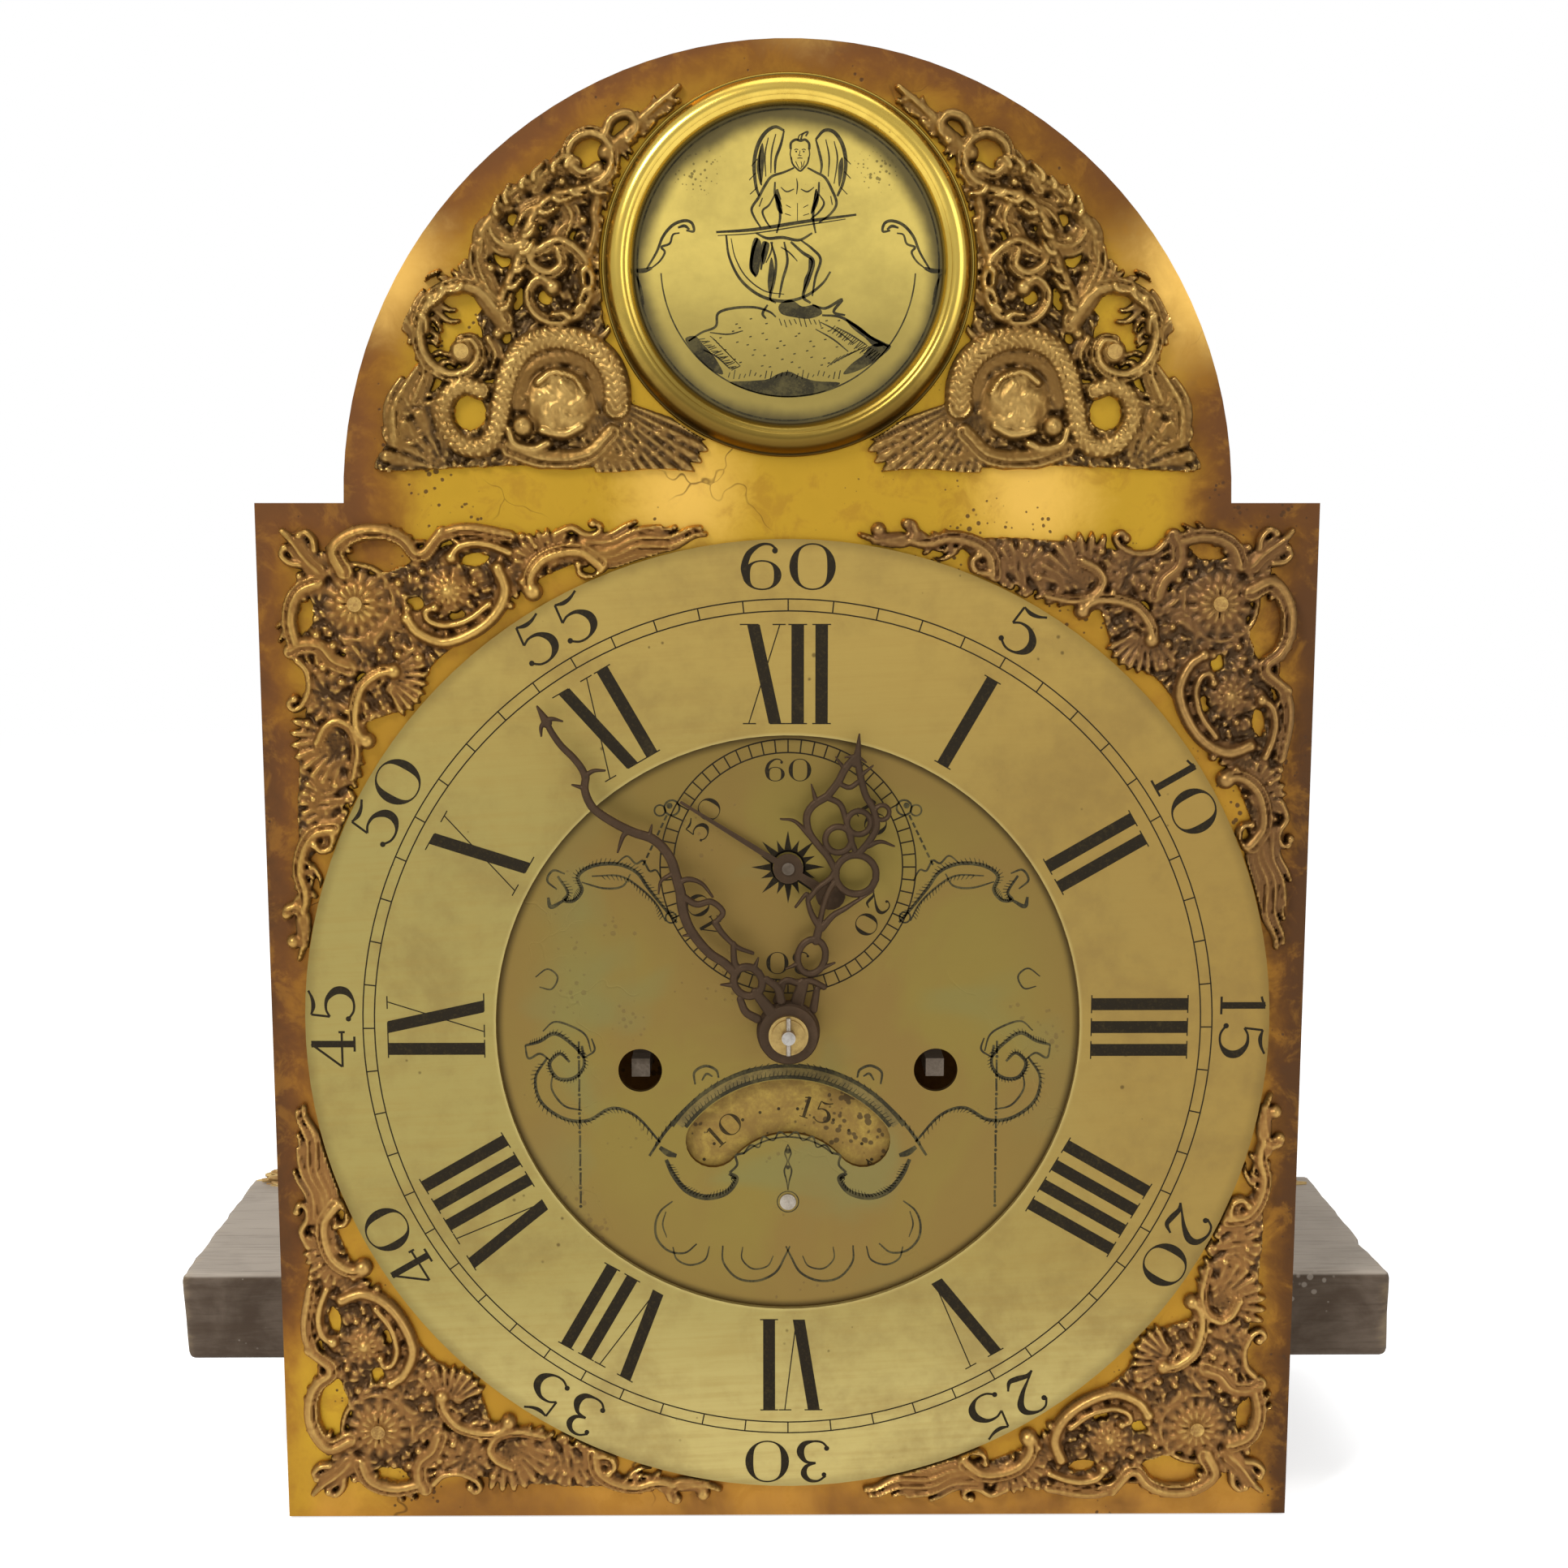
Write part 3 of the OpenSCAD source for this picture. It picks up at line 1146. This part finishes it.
module warning_wheel() {
    p = warning_place;
    d = warning_wheel_d;
    color("goldenrod") {
        wheel_on(p, d, wheel_t - 0.5, warning_teeth, warning_module, 0, 3.6, 1.8,
            fine_arbor_r + fit_gap);
        rod(from(p, 11, 45), d - 3, d + 0.1, 0.8);
        pivoted(p, fine_arbor_r, 0, plate_gap);
        pinion(p, gathering_wheel_d - 1.5, gathering_wheel_d + wheel_t + 1, upper_leaves,
            gathering_module, warning_turn);
    }
}
fly_half = 12;
module fly() {
    p = fly_place;
    color("gold") {
        pivoted(p, fine_arbor_r, 0, plate_gap);
        pinion(p, warning_wheel_d - 1.5, warning_wheel_d + wheel_t + 1, upper_leaves,
            warning_module, fly_turn);
        difference() {
            slab(p, warning_wheel_d + 5, great_wheel_d + 10) union() {
                translate([-fly_half, -0.5]) square([2*fly_half, 1]);
                circle(r = fine_arbor_r + 1.2);
            }
            rod(p, warning_wheel_d, great_wheel_d + 20, fine_arbor_r + fit_gap);
        }
    }
}

// Levers of the striking work
module rack() {
    p = rack_place;
    g = gathering_heading;
    teeth_from = g - 5.6;
    body_r = rack_blank_r - 3.6;
    tip = from([0, 0], tail_len, tail_rest);
    color("slategray") difference() {
        union() {
            fused_slab(p, rack_d, rack_d + lever_t) {
                polygon(concat(
                    bow([0, 0], rack_blank_r, rack_blank_r, g + 8, teeth_from, 6),
                    [for (i = [0 : 12], k = [0 : 1])
                        let(a = teeth_from - (i + [0.05, 0.55][k])*rack_step)
                        (k == 0 ? rack_tip_r : rack_blank_r - 0.3)*[cos(a), sin(a)]],
                    bow([0, 0], body_r, body_r, teeth_from - 13.2*rack_step, g + 8, 14)));
                dot([0, 0], 5);
                stroke([[0, 0], from([0, 0], body_r + 1.5, g + 5)], 7, 3.4);
                stroke([[0, 0], from([0, 0], body_r + 1.5, teeth_from - 11.5*rack_step)], 6, 3.4);
            }
            rod(p, rack_tail_d, rack_d + 0.1, stud_r + 2);
            fused_slab(p, rack_tail_d, rack_tail_d + 1.8) {
                dot([0, 0], 4.4);
                stroke([[0, 0], tip], 4.4, 2.2);
                dot(tip, 1.3);
            }
            rod(p + tip, rack_tail_d + 1.7, snail_d + snail_t - 0.4, tail_pin_r);
            rod(p + from([0, 0], gathering_gap - pallet_tail_r - 1.3, g + 5), gathering_tail_d,
                rack_d + 0.1, 0.9);
        }
        rod(p, rack_tail_d - 1, rack_d + lever_t + 1, stud_r + run_gap);
    }
}
hook_beak = from(rack_place, rack_tip_r + pass_gap, gathering_heading - 8.5);
module rack_hook() {
    p = hook_place;
    b = hook_beak - p;
    color("slategray") difference() {
        fused_slab(p, rack_d, rack_d + lever_t) {
            dot([0, 0], 4.6);
            stroke([[0, 0], [-9, 7.4], [-20, 10.4], [-34, 10.6], b + [3.6, 5.4], b + [1.6, 2.6], b],
                6, 1.1, 0);
            stroke([[0, 0], [6, -2], [10, -6]], 5, 3);
        }
        rod(p, rack_d - 1, rack_d + lever_t + 1, stud_r + run_gap);
    }
}
module lifting_piece() {
    p = lifting_place;
    color("slategray") difference() {
        fused_slab(p, rack_d, rack_d + lever_t) {
            dot([0, 0], 4.6);
            stroke([[0, 0], [-8, 12], [-17, 24], [-25, 34.5], [-31, 41.2]], 6, 1.8, 0);
            stroke([[0, 0], [-5, -11], minute_place + from([0, 0], 13.3, 47) - p], 6, 1.6);
        }
        rod(p, rack_d - 1, rack_d + lever_t + 1, stud_r + run_gap);
    }
}

// Hammer and its spring, between the plates
hammer_d = 12.4;
hammer_t = 3;
hammer_tail_d = pin_wheel_d + wheel_t + 0.3;
spring_foot = [-56, 0];
spring_d1 = hammer_tail_d + 3;
module hammer() {
    p = hammer_place;
    to_pins = heading(p, pin_place);
    tail = norm(pin_place - p) - hammer_pin_ring - hammer_pin_r - pass_gap;
    head_z = bell_rim_z + 5;
    color("slategray") {
        rod(p, 0.3, plate_gap - 0.3, slim_arbor_r);
        rod(p, -plate_t + 0.2, 0.4, pivot_r);
        rod(p, plate_gap - 0.4, back_d - 0.2, pivot_r);
        fused_slab(p, hammer_d, hammer_d + hammer_t) {
            dot([0, 0], 3.6);
            stroke([[0, 0], [-6.5, 16], [-8.2, 28], [-8.2, 50], [-2, head_z - p[1]]], 4, 3);
        }
        fused_slab(p, hammer_tail_d, hammer_d + 0.1) {
            dot([0, 0], 3.4);
            stroke([[0, 0], from([0, 0], tail, to_pins)], 4, 1.6);
            stroke([[0, 0], [-3, -9.5]], 4, 2.4);
        }
        slab([0, 0], hammer_d - 2.5, hammer_d + hammer_t + 2.5)
            translate([-bell_r - 9.5, head_z - 4]) square([11.2, 8]);
    }
}
module hammer_spring() {
    f = spring_foot;
    color("slategray") difference() {
        union() {
            rod(f, 0, spring_d1, 3);
            fused_slab([0, 0], spring_d1 - 3, spring_d1)
                stroke([f, f + [-0.2, 12], f + [0.4, 27]], 2.4, 1);
        }
        rod(f, -1, spring_d1 + 1, screw_r + fit_gap);
    }
}

seatboard();
seatboard_bolts();
dial_plate();
dial_feet();
chapter_ring();
spandrel_top_left();
spandrel_top_right();
spandrel_bottom_left();
spandrel_bottom_right();
arch_spandrel_left();
arch_spandrel_right();
roundel_disc();
roundel_frame();
date_disc();
date_stud();
screws();
taper_pins();
front_plate();
back_plate();
plate_pillars();
front_studs();
hour_bridge();
back_cock();
bell_stand();
bell();
hammer_spring();
hour_hand();
minute_hand();
seconds_hand();
hand_collet();
hand_pin();
going_barrel();
going_arbor();
going_great_wheel();
going_click();
centre_wheel();
centre_arbor();
third_wheel();
third_arbor();
escape_wheel();
escape_arbor();
pallets();
crutch();
cannon_wheel();
minute_wheel();
hour_wheel();
strike_barrel();
strike_arbor();
strike_great_wheel();
strike_click();
pin_wheel();
pin_arbor();
gathering_wheel();
gathering_arbor();
warning_wheel();
fly();
rack();
rack_hook();
lifting_piece();
hammer();
